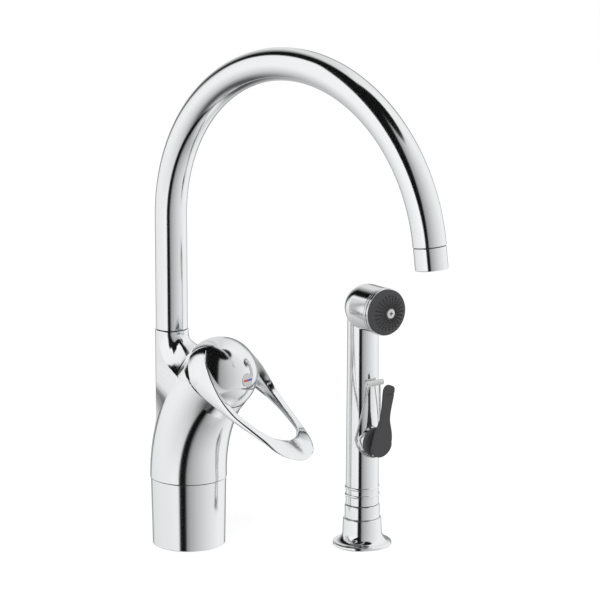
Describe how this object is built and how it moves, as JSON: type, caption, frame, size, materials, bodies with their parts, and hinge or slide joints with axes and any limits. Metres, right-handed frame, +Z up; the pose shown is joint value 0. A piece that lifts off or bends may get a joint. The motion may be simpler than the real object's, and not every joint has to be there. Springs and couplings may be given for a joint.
{
  "type": "kitchen faucet with side spray",
  "caption": "Kitchen mixer faucet with a swivelling gooseneck spout, a loop lever on a domed ceramic cartridge, and a separate trigger side spray standing in its deck holder.",
  "frame": {"origin": "centre of the mixer's base on the worktop, at z = 0", "axes": "+Z up, -Y to the front, where spout and lever point, +X to the right seen from behind the mixer; the side spray stands at +X"},
  "size_m": [0.126, 0.2596, 0.3569],
  "materials": {
    "chrome": "polished chrome plate",
    "dark_plastic": "fine matt moulded plastic",
    "seal_rubber": "matt rubber",
    "brass": "machined",
    "stainless": "bright stainless steel",
    "white_plastic": "moulded acetal",
    "grey_plastic": "moulded plastic",
    "clear_plastic": "natural translucent plastic",
    "ceramic": "lapped alumina",
    "indicator_face": "glossy insert",
    "hot_red": "printed red",
    "cold_blue": "printed blue"
  },
  "bodies": {
    "fixed": {"base_riser": "chrome", "base_gasket": "seal_rubber", "seam_gasket": "seal_rubber", "body_casting": "chrome", "neck_washer": "seal_rubber", "neck_set_screw": "stainless", "cartridge_base": "white_plastic", "cartridge_seals": "seal_rubber", "fixed_disc": "ceramic", "cartridge_shell": "white_plastic", "cartridge_nut": "brass", "cover_ring": "chrome", "holder_flange": "chrome", "holder_gasket": "seal_rubber"},
    "spout": {"spout_tube": "chrome", "spout_shank": "brass", "spout_o_rings": "seal_rubber", "spout_slide_band": "white_plastic", "aerator_sleeve": "chrome", "aerator_gasket": "seal_rubber", "aerator_washer": "seal_rubber", "aerator_insert": "grey_plastic"},
    "turret": {"turret": "white_plastic", "stem_pin": "stainless"},
    "lever": {"lever_handle": "chrome", "cartridge_stem": "stainless", "lever_grub_screw": "stainless", "indicator_disc": "indicator_face", "indicator_hot_mark": "hot_red", "indicator_cold_mark": "cold_blue"},
    "disc": {"moving_disc": "ceramic", "disc_carrier": "white_plastic"},
    "bush": {"holder_bush": "white_plastic"},
    "handset": {"spray_foot": "chrome", "foot_gasket": "seal_rubber", "spray_handle": "chrome", "spray_head": "chrome", "head_ring_rear": "chrome", "head_ring_front": "chrome", "head_seals": "seal_rubber", "spray_plate": "dark_plastic", "face_screw": "stainless", "screw_bridge": "brass", "valve_cap": "dark_plastic", "trigger_pin": "stainless", "valve_seat": "brass", "valve_o_ring": "seal_rubber"},
    "trigger": {"trigger_lever": "dark_plastic"},
    "plunger": {"valve_plunger": "stainless"},
    "bail": {"bail_wire": "stainless", "bail_roller": "clear_plastic"}
  },
  "joints": [
    {"name": "spout_swivel", "type": "hinge", "parent": "fixed", "child": "spout", "pos_m": [0, 0.0152, 0.1502], "axis": [0, 0, 1], "range_deg": [-60, 60]},
    {"name": "lever_turn", "type": "hinge", "parent": "fixed", "child": "turret", "pos_m": [0, -0.0315, 0.1255], "axis": [0, 0.6691, -0.7431], "range_deg": [-45, 45]},
    {"name": "lever_lift", "type": "hinge", "parent": "turret", "child": "lever", "pos_m": [0, -0.0315, 0.1255], "axis": [-1, 0, 0], "range_deg": [0, 25]},
    {"name": "disc_slide", "type": "slide", "parent": "turret", "child": "disc", "axis": [0, -0.7431, -0.6691], "range_m": [0, 0.0065]},
    {"name": "handset_turn", "type": "hinge", "parent": "fixed", "child": "bush", "pos_m": [0.0786, -0.0906, 0.0142], "axis": [0, 0, -1], "range_deg": [-90, 90]},
    {"name": "handset_lift", "type": "slide", "parent": "bush", "child": "handset", "axis": [0, 0, 1], "range_m": [0, 0.06]},
    {"name": "trigger_squeeze", "type": "hinge", "parent": "handset", "child": "trigger", "pos_m": [0.07586, -0.10829, 0.0679], "axis": [-0.9882, 0.153, 0], "range_deg": [0, 9], "stiffness_Nm_per_rad": 0.6, "springref_deg": -8.59},
    {"name": "plunger_push", "type": "slide", "parent": "handset", "child": "plunger", "axis": [0.153, 0.9882, 0], "range_m": [0, 0.0013]},
    {"name": "bail_tilt", "type": "hinge", "parent": "handset", "child": "bail", "pos_m": [0.0767, -0.10285, 0.0649], "axis": [-0.9882, 0.153, 0], "range_deg": [-8, 0]}
  ],
  "couplings": [
    {"joint": "disc_slide", "follows": "lever_lift", "m_per_rad": 0.0145},
    {"joint": "plunger_push", "follows": "trigger_squeeze", "m_per_rad": 0.008}
  ]
}
